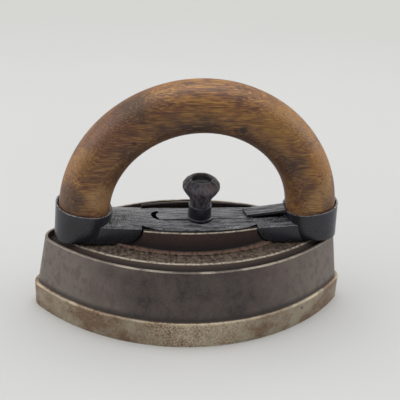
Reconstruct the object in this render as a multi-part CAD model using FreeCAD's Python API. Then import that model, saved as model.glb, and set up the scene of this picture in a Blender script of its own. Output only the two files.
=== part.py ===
"""Cast sad iron with two points and a lift-off wooden handle, in millimetres.

X runs from point to point, Y across, Z up. The origin is the middle of the sole's face.
The handle's own pieces are drawn about the handle's middle and then moved along X, because
the gaps in the ring on the cap, which the handle's ends stand in, are cast that far off the middle.
The latch is drawn held open, with its knob up, so that the handle can lift off.
"""

import FreeCAD, Part
import math
import os

# Sole and body casting
SOLE_HALF_LENGTH = 80.3
SOLE_HALF_WIDTH = 41.2
TIP_RADIUS = 7.9
FLANGE_HEIGHT = 13.3
FLANGE_DRAFT = 0.3
FLANGE_EDGE = 1.0
LEDGE_AT_TIP = 1.8
LEDGE_AT_SIDE = 1.1
WALL_HEIGHT = 26.2
WALL_LEAN_AT_TIP = 4.8
WALL_LEAN_AT_SIDE = 4.2
WALL_THICKNESS = 5.0
SOLE_THICKNESS = 12.0
RIM_WIDTH = 1.2
RIM_EDGE = 0.4
REBATE_DEPTH = 3.3

# Cap plate with its ring, which is hollow down to the pit's floor and open at both ends above a sill
GROOVE_WIDTH = 0.9
CAP_EDGE_HEIGHT = 0.9
BEVEL_AT_TIP = 4.8
BEVEL_AT_SIDE = 5.4
CAP_EDGE = 0.4
BOSS_HEIGHT = 9.7
BOSS_HALF_LENGTH = 38.5
BOSS_HALF_WIDTH = 15.9
BOSS_TIP_RADIUS = 12.8
BOSS_FLARE_AT_TIP = 5.0
BOSS_FLARE_AT_SIDE = 4.5
BOSS_FLARE_OF_RADIUS = 0.6
BOSS_BEAD_WIDTH = 0.7
BOSS_BEAD_HEIGHT = 0.5
BOSS_EDGE = 0.5
RING_WALL = 2.0
RING_GAP = 0.6
SILL_HEIGHT = 1.5
PIT_DEPTH = 20.2
PIT_WALL = 3.0

# Keeper rod, which is cast into both sides of the pit
KEEPER_RADIUS = 2.0
KEEPER_DROP = 12.6
KEEPER_GRIP = 2.5

# Cap screws and the posts they go into
SCREW_SPACING = 48.0
SCREW_RADIUS = 2.2
SCREW_LENGTH = 13.0
SCREW_HEAD_RADIUS = 4.2
SCREW_HEAD_HEIGHT = 2.2
SCREW_SLOT_WIDTH = 1.2
SCREW_SLOT_DEPTH = 1.0
SCREW_CLEARANCE = 0.08
SCREW_END_ROOM = 1.0
POST_RADIUS = 6.0
FILL_CLEARANCE = 0.3

# Handle as a whole
HANDLE_OFFSET = 2.5
NEST_END_GAP = 0.6
NEST_SIDE_GAP = 0.7
NEST_TIP_LESS = 1.5

# Wooden grip
ARCH_HALF_SPAN = 56.5
ARCH_RISE = 57.0
ARCH_FOOT_HEIGHT = 51.3
GRIP_HALF_THICKNESS = 12.3
GRIP_HALF_DEPTH = 11.5
GRIP_CORNER = 10.6
GRIP_CLEARANCE = 0.3

# Handle base casting: a plate in the ring, a bar through each of the ring's gaps, and sockets
PLATE_CROWN_RISE = 1.0
PLATE_THICKNESS = 4.4
SADDLE_RADIUS = 700.0
CROWN_RADIUS = 26.0
BAR_START = 28.5
BAR_CORNER = 8.3
BAR_TAPER = 1.0
SOCKET_RISE = 6.3
SOCKET_WALL = 1.0
SOCKET_DRAFT = 1.2
SOCKET_TAPER = 1.6
SOCKET_RIM_SLOPE = 0.18
SOCKET_DEPTH = 10.0
SOCKET_FLOOR = 2.4
UNDERCUT_WALL = 1.6
GRIP_SCREW_RADIUS = 2.0
GRIP_SCREW_LENGTH = 22.0
GRIP_SCREW_HEAD_RADIUS = 4.0
GRIP_SCREW_HEAD_HEIGHT = 1.6

# Latch lever, which swings on a pin at its left end and carries the knob
KNOB_X = 0.6
LEVER_THICKNESS = 2.0
LEVER_HALF_WIDTH = 3.7
LEVER_PIN_X = -17.5
LEVER_END_X = 27.0
LEVER_EYE_RADIUS = 7.0
LEVER_CLEARANCE = 0.4
TIP_HOLE = 2.2
PIN_RADIUS = 1.3
PIN_DROP = 4.6
KNUCKLE_RADIUS = 3.0
KNUCKLE_WEB_WIDTH = 4.8
LEVER_SWING_DEG = 4.5
LUG_WIDTH = 3.0
RUNNING_CLEARANCE = 0.05

# Knob, collar and stem
COLLAR_RADIUS = 5.8
COLLAR_HEIGHT = 6.3
KNOB_NECK_RADIUS = 5.1
KNOB_NECK_HEIGHT = 2.3
KNOB_RADIUS = 9.5
KNOB_BELL_HEIGHT = 7.8
KNOB_CROWN_HEIGHT = 4.4
KNOB_DISH_RADIUS = 5.0
KNOB_DISH_DEPTH = 1.0
STEM_RADIUS = 2.5
STEM_IN_KNOB = 9.0
CLEVIS_RADIUS = 3.0
CLEVIS_BELOW_PIN = 2.2
CLEVIS_ABOVE_PIN = 3.4
CROSS_PIN_RADIUS = 1.2

# Claw, which the stem swings under the keeper rod
CLAW_ARM = 6.0
CLAW_PIN_DROP = 7.0
CLAW_THICKNESS = 3.0
CLAW_SIDE_CLEARANCE = 0.2
CLAW_BAND = 3.0
CLAW_ARM_HALF_HEIGHT = 1.8
CLAW_HUB_RADIUS = 2.4
CLAW_HUB_HALF_LENGTH = 5.2
CLAW_TIP_GAP = 0.6
CLAW_REACH_GAP = 0.45
CLAW_SLOT_PLAY = 0.5
CLAW_PIN_PLAY = 0.1

# Leaf spring, which presses the lever down
LEAF_THICKNESS = 1.4
LEAF_HALF_WIDTH = 3.5
LEAF_OVERLAP = 4.0
LEAF_SLANT = 1.2
LEAF_LIFT = 0.1
LEAF_SLOPE_DEG = 7.8
LEAF_ROOT_GAP = 0.3

# Heights and places that follow from the sizes above
RIM_Z = FLANGE_HEIGHT + WALL_HEIGHT
CAP_Z = RIM_Z
REBATE_Z = RIM_Z - REBATE_DEPTH
BOSS_Z = CAP_Z + BOSS_HEIGHT
PIT_Z = BOSS_Z - PIT_DEPTH
PIT_UNDERSIDE_Z = PIT_Z - PIT_WALL
KEEPER_Z = BOSS_Z - KEEPER_DROP
PLATE_Z = BOSS_Z + PLATE_CROWN_RISE
PLATE_UNDERSIDE_Z = PLATE_Z - PLATE_THICKNESS
SILL_Z = CAP_Z + SILL_HEIGHT
SOCKET_Z = PLATE_Z + SOCKET_RISE
SOCKET_FLOOR_Z = SOCKET_Z - SOCKET_DEPTH
SOCKET_UNDERSIDE_Z = SOCKET_FLOOR_Z - SOCKET_FLOOR
LEVER_UNDERSIDE_Z = PLATE_Z - LEVER_THICKNESS
LEVER_PIN_Z = PLATE_Z - PIN_DROP
CLAW_PIN_X = KNOB_X - CLAW_ARM
CLAW_PIN_Z = PLATE_Z - CLAW_PIN_DROP
KNOB_Z = PLATE_Z + COLLAR_HEIGHT
KNOB_TOP_Z = KNOB_Z + KNOB_NECK_HEIGHT + KNOB_BELL_HEIGHT + KNOB_CROWN_HEIGHT
LUG_FACE_Y = LEVER_HALF_WIDTH + LEVER_CLEARANCE
FAR = 200.0
CUT_PAST = 1.0


def vector(x, y, z):
    """Return a point or a direction."""
    return FreeCAD.Vector(x, y, z)


X_AXIS = vector(1, 0, 0)
Y_AXIS = vector(0, 1, 0)
Z_AXIS = vector(0, 0, 1)


class Lens:
    """Plan outline with two bowed sides that run into rounded points."""

    def __init__(self, half_length, half_width, tip_radius):
        self.half_length = half_length
        self.half_width = half_width
        self.tip_radius = tip_radius

    def grown(self, margin):
        """Return the outline with the same margin added all round."""
        return self.stretched(margin, margin, margin)

    def stretched(self, at_tip, at_side, of_radius=0.0):
        """Return the outline with its own margin at the points, the sides and the rounding."""
        return Lens(self.half_length + at_tip, self.half_width + at_side, self.tip_radius + of_radius)

    def wire(self, z):
        """Return the closed outline at one height."""
        tip_x = self.half_length - self.tip_radius
        side_rise = self.half_width - self.tip_radius
        side_radius = (tip_x ** 2 + self.half_width ** 2 - self.tip_radius ** 2) / (2 * side_rise)
        lean = math.atan2(side_radius - self.half_width, tip_x)
        join_x = tip_x + self.tip_radius * math.cos(lean)
        join_y = self.tip_radius * math.sin(lean)
        corners = [(-join_x, join_y), (join_x, join_y), (join_x, -join_y), (-join_x, -join_y)]
        crests = [(0, self.half_width), (self.half_length, 0), (0, -self.half_width), (-self.half_length, 0)]
        arcs = []
        for index, crest in enumerate(crests):
            start = corners[index]
            end = corners[(index + 1) % len(corners)]
            points = [vector(x, y, z) for x, y in (start, crest, end)]
            arcs.append(Part.Arc(*points).toShape())
        return Part.Wire(arcs)


def tapered(lower, lower_z, upper, upper_z):
    """Return the solid between one outline and another above it."""
    return Part.makeLoft([lower.wire(lower_z), upper.wire(upper_z)], True, True)


def prism(outline, low_z, high_z):
    """Return an outline drawn straight up from one height to another."""
    return Part.Face(outline.wire(low_z)).extrude(vector(0, 0, high_z - low_z))


def rod_z(radius, x, low_z, high_z):
    """Return an upright cylinder on the midplane."""
    return Part.makeCylinder(radius, high_z - low_z, vector(x, 0, low_z), Z_AXIS)


def rod_y(radius, half_length, x, z):
    """Return a cylinder across the midplane."""
    return Part.makeCylinder(radius, 2 * half_length, vector(x, -half_length, z), Y_AXIS)


def block(low_x, high_x, half_width, low_z, high_z):
    """Return a box that the midplane halves."""
    corner = vector(low_x, -half_width, low_z)
    return Part.makeBox(high_x - low_x, 2 * half_width, high_z - low_z, corner)


def edges_at(shape, z):
    """Return the edges of a shape that lie flat at one height."""
    near = 0.01
    return [e for e in shape.Edges if abs(e.BoundBox.ZMin - z) < near and abs(e.BoundBox.ZMax - z) < near]


def across(edges):
    """Return a closed side view drawn right across the midplane."""
    face = Part.Face(Part.Wire(edges))
    face.translate(vector(0, -FAR, 0))
    return face.extrude(vector(0, 2 * FAR, 0))


def revolved(points_and_curves, x):
    """Return a closed half profile turned about an upright axis."""
    face = Part.Face(Part.Wire(points_and_curves))
    return face.revolve(vector(x, 0, 0), Z_AXIS, 360)


def in_place(shape):
    """Return a piece of the handle where the handle sits on the iron."""
    return shape.translated(vector(HANDLE_OFFSET, 0, 0))


def mirrored(shape):
    """Return the same shape at the other end of the handle."""
    return shape.mirror(vector(0, 0, 0), X_AXIS)


# Outlines of the iron, from the sole up

SOLE = Lens(SOLE_HALF_LENGTH, SOLE_HALF_WIDTH, TIP_RADIUS)
FLANGE_TOP = SOLE.stretched(-FLANGE_DRAFT, -FLANGE_DRAFT)
WALL_FOOT = FLANGE_TOP.stretched(-LEDGE_AT_TIP, -LEDGE_AT_SIDE)
RIM = WALL_FOOT.stretched(-WALL_LEAN_AT_TIP, -WALL_LEAN_AT_SIDE)
REBATE = RIM.grown(-RIM_WIDTH)
CAP_FOOT = REBATE.grown(-GROOVE_WIDTH)
CAP_TOP = CAP_FOOT.stretched(-BEVEL_AT_TIP, -BEVEL_AT_SIDE)
BOSS_TOP = Lens(BOSS_HALF_LENGTH, BOSS_HALF_WIDTH, BOSS_TIP_RADIUS)
BOSS_FOOT = BOSS_TOP.stretched(BOSS_FLARE_AT_TIP, BOSS_FLARE_AT_SIDE, BOSS_FLARE_OF_RADIUS)
PIT = BOSS_TOP.grown(-RING_WALL)
NEST = PIT.stretched(-HANDLE_OFFSET - NEST_END_GAP, -NEST_SIDE_GAP, -NEST_TIP_LESS)


def wall_at(z, margin):
    """Return the leaning wall's outline at a height, less a margin."""
    share = (z - FLANGE_HEIGHT) / WALL_HEIGHT
    at_tip = -WALL_LEAN_AT_TIP * share - margin
    at_side = -WALL_LEAN_AT_SIDE * share - margin
    return WALL_FOOT.stretched(at_tip, at_side, -margin)


def cavity(margin):
    """Return the hollow inside the body casting, less a margin all round but not below."""
    inset = WALL_THICKNESS + margin
    low = wall_at(SOLE_THICKNESS, inset)
    high = wall_at(REBATE_Z, inset)
    return tapered(low, SOLE_THICKNESS, high, REBATE_Z)


def screw_places():
    """Return where the cap screws stand along X."""
    return [-SCREW_SPACING / 2, SCREW_SPACING / 2]


def body_casting():
    """Sole, flange, leaning wall with its rim and rebate, and two posts for the cap screws."""
    flange = tapered(SOLE, 0, FLANGE_TOP, FLANGE_HEIGHT)
    flange = flange.makeFillet(FLANGE_EDGE, edges_at(flange, FLANGE_HEIGHT))
    wall = tapered(WALL_FOOT, FLANGE_HEIGHT, RIM, RIM_Z)
    wall = wall.makeFillet(RIM_EDGE, edges_at(wall, RIM_Z))
    body = flange.fuse(wall)
    body = body.cut(cavity(0))
    body = body.cut(prism(REBATE, REBATE_Z, RIM_Z + CUT_PAST))
    for x in screw_places():
        post = rod_z(POST_RADIUS, x, SOLE_THICKNESS, PIT_UNDERSIDE_Z)
        hole = rod_z(SCREW_RADIUS + SCREW_CLEARANCE, x, PIT_Z - SCREW_LENGTH - SCREW_END_ROOM, FAR)
        body = body.fuse(post).cut(hole)
    return body.removeSplitter()


def insulating_fill():
    """Filling poured round the posts and under the cap."""
    fill = cavity(FILL_CLEARANCE)
    fill = fill.cut(prism(PIT.grown(PIT_WALL + FILL_CLEARANCE), PIT_UNDERSIDE_Z - FILL_CLEARANCE, FAR))
    fill = fill.cut(block(-FAR, FAR, FAR, REBATE_Z - FILL_CLEARANCE, FAR))
    for x in screw_places():
        fill = fill.cut(rod_z(POST_RADIUS + FILL_CLEARANCE, x, 0, FAR))
    return fill


def cap_plate():
    """Bevelled cap with the flared ring, the pit inside it, its floor and a gap at each end."""
    edge_z = REBATE_Z + CAP_EDGE_HEIGHT
    cap = prism(CAP_FOOT, REBATE_Z, edge_z)
    bevel = tapered(CAP_FOOT, edge_z, CAP_TOP, CAP_Z)
    bevel = bevel.makeFillet(CAP_EDGE, edges_at(bevel, CAP_Z))
    cap = cap.fuse(bevel)
    bead = prism(BOSS_FOOT.grown(BOSS_BEAD_WIDTH), CAP_Z, CAP_Z + BOSS_BEAD_HEIGHT)
    boss = tapered(BOSS_FOOT, CAP_Z, BOSS_TOP, BOSS_Z)
    boss = boss.makeFillet(BOSS_EDGE, edges_at(boss, BOSS_Z))
    cup = prism(PIT.grown(PIT_WALL), PIT_UNDERSIDE_Z, REBATE_Z)
    cap = cap.fuse([bead, boss, cup])
    cap = cap.cut(prism(PIT, PIT_Z, BOSS_Z + CUT_PAST))
    gap = end_room(RING_GAP).common(block(-FAR, FAR, FAR, SILL_Z, FAR))
    cap = cap.cut([in_place(gap), in_place(mirrored(gap)), keeper_rod()])
    for x in screw_places():
        cap = cap.cut(screw_room(x))
    return cap.removeSplitter()


def keeper_rod():
    """Rod across the pit that the claw hooks under."""
    return rod_y(KEEPER_RADIUS, PIT.half_width + KEEPER_GRIP, 0, KEEPER_Z)


def screw_room(x):
    """Return the countersunk hole for one cap screw."""
    radius = SCREW_RADIUS + SCREW_CLEARANCE
    head_radius = SCREW_HEAD_RADIUS + SCREW_CLEARANCE
    hole = rod_z(radius, x, PIT_UNDERSIDE_Z - CUT_PAST, PIT_Z)
    sink = Part.makeCone(radius, head_radius, SCREW_HEAD_HEIGHT, vector(x, 0, PIT_Z - SCREW_HEAD_HEIGHT))
    return hole.fuse(sink)


def cap_screws():
    """Two countersunk slotted screws in the pit's floor."""
    screws = []
    for x in screw_places():
        neck_z = PIT_Z - SCREW_HEAD_HEIGHT
        screw = rod_z(SCREW_RADIUS, x, PIT_Z - SCREW_LENGTH, neck_z)
        head = Part.makeCone(SCREW_RADIUS, SCREW_HEAD_RADIUS, SCREW_HEAD_HEIGHT, vector(x, 0, neck_z))
        slot = block(x - SCREW_SLOT_WIDTH / 2, x + SCREW_SLOT_WIDTH / 2, SCREW_HEAD_RADIUS,
                     PIT_Z - SCREW_SLOT_DEPTH, PIT_Z + CUT_PAST)
        screws.append(screw.fuse(head).cut(slot).removeSplitter())
    return Part.makeCompound(screws)


# Wooden grip

def section_wire(x, z, margin):
    """Return the grip's rounded section, lying flat, grown by a margin."""
    half_x = GRIP_HALF_THICKNESS + margin
    half_y = GRIP_HALF_DEPTH + margin
    return rounded_rectangle(x, z, half_x, half_y, GRIP_CORNER + margin)


def rounded_rectangle(x, z, half_x, half_y, corner):
    """Return a closed rectangle with round corners at one height."""
    edges = []
    inner_x = half_x - corner
    inner_y = half_y - corner
    quarter = corner * math.sqrt(0.5)
    for turn_x, turn_y in ((1, 1), (-1, 1), (-1, -1), (1, -1)):
        centre_x = x + turn_x * inner_x
        centre_y = turn_y * inner_y
        on_x = vector(centre_x + turn_x * corner, centre_y, z)
        on_y = vector(centre_x, centre_y + turn_y * corner, z)
        middle = vector(centre_x + turn_x * quarter, centre_y + turn_y * quarter, z)
        ordered = [on_x, middle, on_y] if turn_x == turn_y else [on_y, middle, on_x]
        edges.append(Part.Arc(*ordered).toShape())
    joined = []
    for index, edge in enumerate(edges):
        following = edges[(index + 1) % len(edges)]
        start = edge.valueAt(edge.LastParameter)
        end = following.valueAt(following.FirstParameter)
        joined += [edge, Part.makeLine(start, end)]
    return Part.Wire(joined)


def arch_curve():
    """Return the half ellipse that the grip's middle follows."""
    left = vector(-ARCH_HALF_SPAN, 0, 0)
    top = vector(0, 0, ARCH_HALF_SPAN)
    right = vector(ARCH_HALF_SPAN, 0, 0)
    curve = Part.Arc(left, top, right).toBSpline()
    for index, pole in enumerate(curve.getPoles(), start=1):
        height = ARCH_FOOT_HEIGHT + pole.z * ARCH_RISE / ARCH_HALF_SPAN
        curve.setPole(index, vector(pole.x, 0, height))
    return curve.toShape()


def grip_screw_room():
    """Return the room that both grip screws' shanks take."""
    low_z = SOCKET_UNDERSIDE_Z - CUT_PAST
    radius = GRIP_SCREW_RADIUS + RUNNING_CLEARANCE
    high_z = SOCKET_UNDERSIDE_Z + GRIP_SCREW_LENGTH
    rooms = [rod_z(radius, x, low_z, high_z) for x in (-ARCH_HALF_SPAN, ARCH_HALF_SPAN)]
    return Part.makeCompound(rooms)


def wooden_grip():
    """Half ring of wood with straight feet that stand in the sockets."""
    sweep = Part.BRepOffsetAPI.MakePipeShell(Part.Wire([arch_curve()]))
    sweep.setBiNormalMode(Y_AXIS)
    sweep.add(section_wire(-ARCH_HALF_SPAN, ARCH_FOOT_HEIGHT, 0), False, False)
    sweep.build()
    sweep.makeSolid()
    grip = sweep.shape()
    for x in (-ARCH_HALF_SPAN, ARCH_HALF_SPAN):
        foot = Part.Face(section_wire(x, SOCKET_FLOOR_Z, 0))
        grip = grip.fuse(foot.extrude(vector(0, 0, ARCH_FOOT_HEIGHT - SOCKET_FLOOR_Z)))
    return in_place(grip.cut(grip_screw_room()))


def grip_screws():
    """Two screws that come up through the socket floors into the wood."""
    seat_z = SOCKET_UNDERSIDE_Z
    screws = []
    for x in (-ARCH_HALF_SPAN, ARCH_HALF_SPAN):
        shank = rod_z(GRIP_SCREW_RADIUS, x, seat_z, seat_z + GRIP_SCREW_LENGTH - SCREW_END_ROOM)
        head = rod_z(GRIP_SCREW_HEAD_RADIUS, x, seat_z - GRIP_SCREW_HEAD_HEIGHT, seat_z)
        slot = block(x - SCREW_SLOT_WIDTH / 2, x + SCREW_SLOT_WIDTH / 2, GRIP_SCREW_HEAD_RADIUS,
                     seat_z - FAR, seat_z - GRIP_SCREW_HEAD_HEIGHT / 2)
        screws.append(shank.fuse(head).cut(slot).removeSplitter())
    return in_place(Part.makeCompound(screws))


# Handle base

def saddle():
    """Return a deep block whose top sags lengthwise to the middle and is crowned across."""
    reach = BOSS_HALF_WIDTH
    drop = CROWN_RADIUS - math.sqrt(CROWN_RADIUS ** 2 - reach ** 2)
    depth = vector(0, 0, -PLATE_Z)
    left = vector(0, -reach, PLATE_Z - drop)
    right = vector(0, reach, PLATE_Z - drop)
    crown = Part.Arc(left, vector(0, 0, PLATE_Z), right).toShape()
    sides = Part.makePolygon([right, right + depth, left + depth, left])
    face = Part.Face(Part.Wire([crown] + sides.Edges))
    centre = vector(0, 0, PLATE_Z + SADDLE_RADIUS)
    half_turn = math.degrees(math.asin(2 * ARCH_HALF_SPAN / SADDLE_RADIUS))
    face.rotate(centre, Y_AXIS, -half_turn)
    return face.revolve(centre, Y_AXIS, 2 * half_turn)


def end_room(margin):
    """Return the side view of one bar, grown by a margin: its lower inner corner is round."""
    radius = BAR_CORNER + margin
    centre_x = BAR_START + BAR_CORNER
    centre_z = SILL_Z + BAR_CORNER
    start = vector(centre_x - radius, 0, centre_z)
    middle = vector(centre_x - radius * math.sqrt(0.5), 0, centre_z - radius * math.sqrt(0.5))
    end = vector(centre_x, 0, centre_z - radius)
    corners = [end, vector(FAR, 0, end.z), vector(FAR, 0, FAR), vector(start.x, 0, FAR), start]
    outline = Part.makePolygon(corners)
    return across([Part.Arc(start, middle, end).toShape()] + outline.Edges)


def above_rim():
    """Return all that lies above a socket's rim, which slants down towards the middle."""
    rise = vector(FAR, 0, FAR * SOCKET_RIM_SLOPE)
    middle = vector(ARCH_HALF_SPAN, 0, SOCKET_Z)
    low = middle - rise
    high = middle + rise
    return across(Part.makePolygon([low, high, vector(low.x, 0, high.z), low]).Edges)


def socket_half_depth(z):
    """Return how far a socket's flank lies from the midplane: it tapers in downwards."""
    taper = SOCKET_TAPER * (SOCKET_Z - z) / (SOCKET_Z - SILL_Z)
    return GRIP_HALF_DEPTH + GRIP_CLEARANCE + SOCKET_WALL - taper


def socket_wire(z, inset):
    """Return a socket's outline at one height, less an inset: its far end drafts out downwards."""
    draft = SOCKET_DRAFT * (SOCKET_Z - z) / (SOCKET_Z - SILL_Z)
    half_x = GRIP_HALF_THICKNESS + GRIP_CLEARANCE + SOCKET_WALL + draft / 2
    half_y = socket_half_depth(z)
    corner = GRIP_CORNER - GRIP_HALF_DEPTH + half_y
    return rounded_rectangle(ARCH_HALF_SPAN + draft / 2, z, half_x - inset, half_y - inset, corner - inset)


def socket_solid(inset, low_z, high_z):
    """Return a socket's outer form, less an inset all round, between two heights."""
    return Part.makeLoft([socket_wire(low_z, inset), socket_wire(high_z, inset)], True, True)


def bar_solid():
    """Return one bar from its inner face to the middle of its socket, its flanks tapering in upwards."""
    foot_half = socket_half_depth(SILL_Z)
    top_half = foot_half - BAR_TAPER
    corners = [(-foot_half, SILL_Z), (foot_half, SILL_Z), (top_half, SOCKET_Z), (-top_half, SOCKET_Z)]
    points = [vector(BAR_START, y, z) for y, z in corners]
    section = Part.Face(Part.makePolygon(points + points[:1]))
    bar = section.extrude(vector(ARCH_HALF_SPAN - BAR_START, 0, 0))
    return bar.common(end_room(0)).common(saddle())


def base_end():
    """One end of the base: the bar, the socket with its floor, and the hollow under the floor."""
    rim_rise = SOCKET_RIM_SLOPE * (GRIP_HALF_THICKNESS + GRIP_CLEARANCE + SOCKET_WALL + SOCKET_DRAFT)
    socket = socket_solid(0, SILL_Z, SOCKET_Z + rim_rise).cut(above_rim())
    end = bar_solid().fuse(socket)
    end = end.cut(socket_solid(UNDERCUT_WALL, SILL_Z - CUT_PAST, SOCKET_UNDERSIDE_Z))
    pocket = Part.Face(section_wire(ARCH_HALF_SPAN, SOCKET_FLOOR_Z, GRIP_CLEARANCE))
    return end.cut(pocket.extrude(vector(0, 0, FAR)))


def slot_room():
    """Return the room in the plate for the lever, its eye and the leaf spring."""
    half_width = LEVER_HALF_WIDTH + LEVER_CLEARANCE
    tip_x = LEVER_PIN_X - TIP_HOLE
    eye_reach = KNOB_X + LEVER_EYE_RADIUS - LEVER_PIN_X
    eye_sink = eye_reach * math.sin(math.radians(LEVER_SWING_DEG)) + LEVER_CLEARANCE
    room = block(tip_x, leaf_root_x(), half_width, PLATE_UNDERSIDE_Z, FAR)
    room = room.fuse(rod_z(half_width, tip_x, PLATE_UNDERSIDE_Z, FAR))
    eye = rod_z(LEVER_EYE_RADIUS + LEVER_CLEARANCE, KNOB_X, LEVER_UNDERSIDE_Z - eye_sink, FAR)
    return room.fuse(eye)


def lug_pair(x, z, radius, face_y):
    """Return two lugs that hang from the plate and hold one end each of a pin."""
    lugs = rod_y(radius, face_y + LUG_WIDTH, x, z)
    lugs = lugs.fuse(block(x - radius, x + radius, face_y + LUG_WIDTH, z, PLATE_UNDERSIDE_Z))
    return lugs.cut(block(-FAR, FAR, face_y, 0, FAR))


def handle_base():
    """Casting with a slotted plate in the ring, a bar on each sill and a socket at each end."""
    right = base_end()
    plate = prism(NEST, PLATE_UNDERSIDE_Z, FAR).common(saddle())
    base = plate.fuse([right, mirrored(right)])
    lever_lugs = lug_pair(LEVER_PIN_X, LEVER_PIN_Z, KNUCKLE_RADIUS, LUG_FACE_Y)
    claw_lug_face_y = CLAW_HUB_HALF_LENGTH + CLAW_SIDE_CLEARANCE
    claw_lugs = lug_pair(CLAW_PIN_X, CLAW_PIN_Z, CLAW_HUB_RADIUS, claw_lug_face_y)
    base = base.fuse([lever_lugs, claw_lugs])
    base = base.cut([slot_room(), lever_pin_rod(), claw_pin_rod(), grip_screw_room(), leaf_notch()])
    return in_place(base.removeSplitter())


# Latch

def lever_pin_rod():
    """Return the lever's pin about the handle's middle."""
    return rod_y(PIN_RADIUS, LUG_FACE_Y + LUG_WIDTH, LEVER_PIN_X, LEVER_PIN_Z)


def claw_pin_rod():
    """Return the claw's pin about the handle's middle."""
    half_length = CLAW_HUB_HALF_LENGTH + CLAW_SIDE_CLEARANCE + LUG_WIDTH
    return rod_y(PIN_RADIUS, half_length, CLAW_PIN_X, CLAW_PIN_Z)


def lever_pin():
    """Pin that the lever swings on."""
    return in_place(lever_pin_rod())


def claw_pin():
    """Pin that the claw swings on."""
    return in_place(claw_pin_rod())


def latch_lever():
    """Flat lever with a knuckle at its left end and an eye round the knob's stem."""
    low_z = LEVER_UNDERSIDE_Z
    lever = block(LEVER_PIN_X, LEVER_END_X, LEVER_HALF_WIDTH, low_z, PLATE_Z)
    lever = lever.fuse(rod_z(LEVER_HALF_WIDTH, LEVER_PIN_X, low_z, PLATE_Z))
    lever = lever.fuse(rod_z(LEVER_EYE_RADIUS, KNOB_X, low_z, PLATE_Z))
    lever = lever.fuse(rod_y(KNUCKLE_RADIUS, LEVER_HALF_WIDTH, LEVER_PIN_X, LEVER_PIN_Z))
    web_half = KNUCKLE_WEB_WIDTH / 2
    web_x = LEVER_PIN_X
    lever = lever.fuse(block(web_x - web_half, web_x + web_half, LEVER_HALF_WIDTH, LEVER_PIN_Z, PLATE_Z))
    lever = lever.cut(rod_y(PIN_RADIUS + RUNNING_CLEARANCE, FAR, LEVER_PIN_X, LEVER_PIN_Z))
    lever = lever.cut(rod_z(STEM_RADIUS, KNOB_X, 0, FAR))
    return in_place(lever.removeSplitter())


def knob_collar():
    """Plain sleeve between the lever and the knob."""
    collar = rod_z(COLLAR_RADIUS, KNOB_X, PLATE_Z, KNOB_Z)
    collar = collar.makeFillet(CAP_EDGE, edges_at(collar, KNOB_Z))
    return in_place(collar.cut(rod_z(STEM_RADIUS, KNOB_X, 0, FAR)))


def knob():
    """Bell-shaped knob with a dished top, turned about the stem."""
    neck_z = KNOB_Z + KNOB_NECK_HEIGHT
    wide_z = neck_z + KNOB_BELL_HEIGHT
    top_z = KNOB_TOP_Z
    crown_run = KNOB_RADIUS - KNOB_DISH_RADIUS
    foot_axis = vector(KNOB_X, 0, KNOB_Z)
    foot = vector(KNOB_X + KNOB_NECK_RADIUS, 0, KNOB_Z)
    neck = vector(KNOB_X + KNOB_NECK_RADIUS, 0, neck_z)
    wide = vector(KNOB_X + KNOB_RADIUS, 0, wide_z)
    lip = vector(KNOB_X + KNOB_DISH_RADIUS, 0, top_z)
    top_axis = vector(KNOB_X, 0, top_z)
    bell = Part.BSplineCurve()
    upward = Z_AXIS * KNOB_BELL_HEIGHT
    bell.interpolate([neck, wide], InitialTangent=upward, FinalTangent=upward)
    crown = Part.BSplineCurve()
    inward = X_AXIS * -crown_run
    crown.interpolate([wide, lip], InitialTangent=Z_AXIS * KNOB_CROWN_HEIGHT, FinalTangent=inward)
    dish_sphere_radius = (KNOB_DISH_RADIUS ** 2 + KNOB_DISH_DEPTH ** 2) / (2 * KNOB_DISH_DEPTH)
    dish_centre = vector(KNOB_X, 0, top_z - KNOB_DISH_DEPTH + dish_sphere_radius)
    dish = Part.makeSphere(dish_sphere_radius, dish_centre)
    profile = [
        Part.makeLine(foot_axis, foot),
        Part.makeLine(foot, neck),
        bell.toShape(),
        crown.toShape(),
        Part.makeLine(lip, top_axis),
        Part.makeLine(top_axis, foot_axis),
    ]
    solid = revolved(profile, KNOB_X).cut(dish)
    return in_place(solid.cut(rod_z(STEM_RADIUS, KNOB_X, 0, KNOB_Z + STEM_IN_KNOB)))


def knob_stem():
    """Rod from the knob down through the lever, with a slotted foot for the claw's arm."""
    foot_z = CLAW_PIN_Z - CLEVIS_BELOW_PIN
    stem = rod_z(STEM_RADIUS, KNOB_X, LEVER_UNDERSIDE_Z, KNOB_Z + STEM_IN_KNOB)
    clevis = rod_z(CLEVIS_RADIUS, KNOB_X, foot_z, LEVER_UNDERSIDE_Z)
    slot_half = CLAW_THICKNESS / 2 + CLAW_SIDE_CLEARANCE
    slot = block(-FAR, FAR, slot_half, foot_z, CLAW_PIN_Z + CLEVIS_ABOVE_PIN)
    stem = stem.fuse(clevis).cut(slot).cut(cross_pin_rod())
    return in_place(stem.removeSplitter())


def cross_pin_rod():
    """Return the stem's cross pin about the handle's middle."""
    half_length = math.sqrt(CLEVIS_RADIUS ** 2 - CROSS_PIN_RADIUS ** 2)
    return rod_y(CROSS_PIN_RADIUS, half_length, KNOB_X, CLAW_PIN_Z)


def stem_cross_pin():
    """Pin across the stem's foot, which lifts the claw's arm."""
    return in_place(cross_pin_rod())


def claw_inner_radius():
    """Return how far the claw's inner edge lies from its pin, just past the keeper rod."""
    run = CLAW_PIN_X + HANDLE_OFFSET
    reach = math.hypot(run, CLAW_PIN_Z - KEEPER_Z)
    return reach + KEEPER_RADIUS + CLAW_REACH_GAP


def polar(radius, degrees):
    """Return a point in the claw's plane, by radius from its pin and angle below level."""
    angle = math.radians(degrees)
    return vector(CLAW_PIN_X + radius * math.cos(angle), 0, CLAW_PIN_Z - radius * math.sin(angle))


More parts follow.
